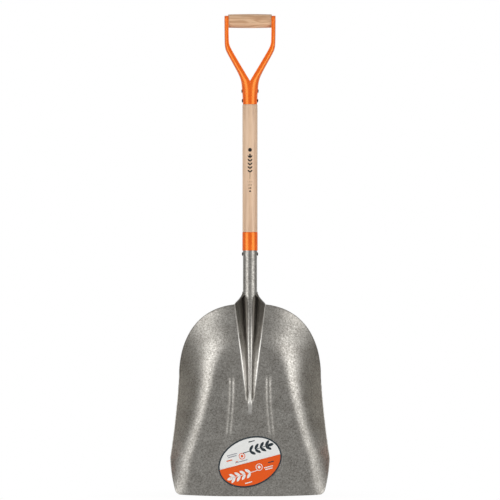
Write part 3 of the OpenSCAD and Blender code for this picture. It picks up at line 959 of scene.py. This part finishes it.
def make_shaft_print():
    """A plain mark in black ink up the front of the shaft: a dot, an ear and tick bars."""
    ink = Print(on_shaft, 0.0)
    ink.dot((769.0, 0), 4.2)
    ink.ear((705.0, 0), 56, 11.5, 0.0, 5)
    for row in range(4):
        ink.bar((698.0 - 7.0 * row, 0), 3.0, 9.5 - 1.8 * row, 0.0)
    return ink.build("shaft_print", film("print_black", (0.02, 0.018, 0.016)))


# ---- Studio ------------------------------------------------------------------

# Strengths of the lights
STRIP_POWER = 1.9
EDGE_POWER = 0.7
BACK_POWER = 0.5
FRONT_POWER = 0.22
ROOM_POWER = 0.26
# How far down the side strips reach, and where they weaken upwards, as sines
STRIP_FOOT = 0.85
STRIP_HEAD = 0.85
FOOT_SHARPNESS = 5.0
HEAD_LEAST = 0.4
# Directions and half-widths of the strips, in degrees from the front
MAIN_STRIP = (47, 19)
EDGE_STRIP = (62, 26)
BACK_STRIP = (140, 25)
FRONT_STRIP = (0, 45)


def make_floor():
    """A pale round floor that fades to white. It isn't seen in reflections."""
    t = Tree("studio_floor")
    radius = t.add("VectorMath", {0: t.place}, operation="LENGTH").outputs["Value"]
    fade = t.ramp(radius, [(0.20, 0.97), (0.40, 1.0)])
    t.set(colour=(0.93, 0.93, 0.93), roughness=0.9)
    glow = t.add("Emission", {"Color": (1, 1, 1), "Strength": 1.0})
    blend = t.add("MixShader", {0: fade, 1: t.shader.outputs[0], 2: glow.outputs[0]})
    t.links.new(blend.outputs[0], t.nodes["Material Output"].inputs["Surface"])
    reach = 3.0
    mesh = bpy.data.meshes.new("floor")
    ring = [(reach * math.cos(a), reach * math.sin(a), 0)
            for a in np.linspace(0, 2 * np.pi, 96, endpoint=False)]
    mesh.from_pydata(ring, [], [list(range(len(ring)))])
    mesh.materials.append(t.material)
    floor = bpy.data.objects.new("floor", mesh)
    bpy.context.collection.objects.link(floor)
    floor.location.z = -0.0005
    floor.visible_glossy = False
    floor.visible_diffuse = False
    return floor


def make_world():
    """A white backdrop; the light comes from tall soft strips in a dim room.

    A bright strip with a weaker one beside it stands left and right of the front,
    a weak wide one stands at the front, and a weak one behind on each side.
    """
    world = bpy.data.worlds.new("studio")
    bpy.context.scene.world = world
    world.use_nodes = True
    nodes, links = world.node_tree.nodes, world.node_tree.links

    def add(kind, **settings):
        node = nodes.new("ShaderNode" + kind)
        for key, value in settings.items():
            setattr(node, key, value)
        return node

    def calc(operation, a, b=0.0):
        node = add("Math", operation=operation)
        for socket, value in zip(node.inputs, (a, b)):
            if isinstance(value, bpy.types.NodeSocket):
                links.new(value, socket)
            else:
                socket.default_value = value
        return node.outputs[0]

    split = add("SeparateXYZ")
    links.new(add("TexCoord").outputs["Generated"], split.inputs[0])
    from_front = calc("ARCTAN2", calc("ABSOLUTE", split.outputs["X"]),
                      calc("MULTIPLY", split.outputs["Y"], -1.0))

    def strip(centre, half, strength):
        """A soft-edged upright strip of light, both sides of the front."""
        off = calc("DIVIDE", calc("SUBTRACT", from_front, math.radians(centre)),
                   math.radians(half))
        fall = calc("POWER", math.e, calc("MULTIPLY", calc("POWER", off, 4.0), -1.0))
        return calc("MULTIPLY", fall, strength)

    # The side strips end below the horizon and weaken towards the ceiling
    foot = calc("MULTIPLY", calc("ADD", split.outputs["Z"], STRIP_FOOT), FOOT_SHARPNESS)
    foot = calc("MINIMUM", calc("MAXIMUM", foot, 0.0), 1.0)
    head = calc("SUBTRACT", STRIP_HEAD, split.outputs["Z"])
    head = calc("MINIMUM", calc("MAXIMUM", head, HEAD_LEAST), 1.0)
    light = calc("ADD", strip(*MAIN_STRIP, STRIP_POWER), strip(*EDGE_STRIP, EDGE_POWER))
    light = calc("MULTIPLY", light, calc("MULTIPLY", foot, head))
    light = calc("ADD", light, strip(*BACK_STRIP, BACK_POWER))
    light = calc("ADD", light, strip(*FRONT_STRIP, FRONT_POWER))
    light = calc("ADD", light, ROOM_POWER)
    room = nodes.new("ShaderNodeBackground")
    room.inputs["Color"].default_value = (1, 1, 1, 1)
    links.new(light, room.inputs["Strength"])
    backdrop = nodes["Background"]
    backdrop.inputs["Color"].default_value = (1, 1, 1, 1)
    seen = nodes.new("ShaderNodeLightPath")
    mix = nodes.new("ShaderNodeMixShader")
    links.new(seen.outputs["Is Camera Ray"], mix.inputs[0])
    links.new(room.outputs[0], mix.inputs[1])
    links.new(backdrop.outputs[0], mix.inputs[2])
    links.new(mix.outputs[0], nodes["World Output"].inputs["Surface"])


def make_camera(distance, height, shown_height):
    """A long lens straight in front of the scoop, level with its middle."""
    data = bpy.data.cameras.new("camera")
    data.sensor_width = 36.0
    data.lens = data.sensor_width * distance / shown_height
    data.clip_end = 100.0
    camera = bpy.data.objects.new("camera", data)
    bpy.context.collection.objects.link(camera)
    camera.location = (0, AXIS_Y * MM - distance, height)
    camera.rotation_euler = (math.pi / 2, 0, 0)
    bpy.context.scene.camera = camera


# ---- Assembly ----------------------------------------------------------------

steel = speckled_steel()
paint = orange_paint()
rivet_metal = dark_metal()

blade = make_blade(steel)
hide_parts("scoop_blade")

pale_ash = ash_wood("ash_shaft", "z", (0.78, 0.54, 0.36), (0.52, 0.32, 0.20), 0.5)
shaft = make_shaft(pale_ash)
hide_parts("handle_shaft")

collar = make_collar(paint)
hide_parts("socket_collar")

yoke = make_yoke(paint)
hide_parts("grip_yoke")

bar = make_bar(ash_wood("ash_bar", "x", (0.78, 0.51, 0.31), (0.46, 0.24, 0.12), 0.75))
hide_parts("grip_bar")

rod = make_rod(paint)
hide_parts("grip_rod")

pieces = [blade, shaft, collar, yoke, bar, rod]
for node in ("socket_rivet", "yoke_rivet_lower", "yoke_rivet_upper"):
    rivet = make_rivet(node, rivet_metal)
    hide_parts(node)
    pieces.append(rivet)

label_pieces = make_label()
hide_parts("blade_label")
shaft_print = make_shaft_print()
pieces += [*label_pieces, shaft_print]

for piece in pieces:
    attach(piece, "root")

floor = make_floor()
make_world()
view = bpy.context.scene.view_settings
view.view_transform = "Standard"
make_camera(distance=12.0, height=0.546, shown_height=1.115)
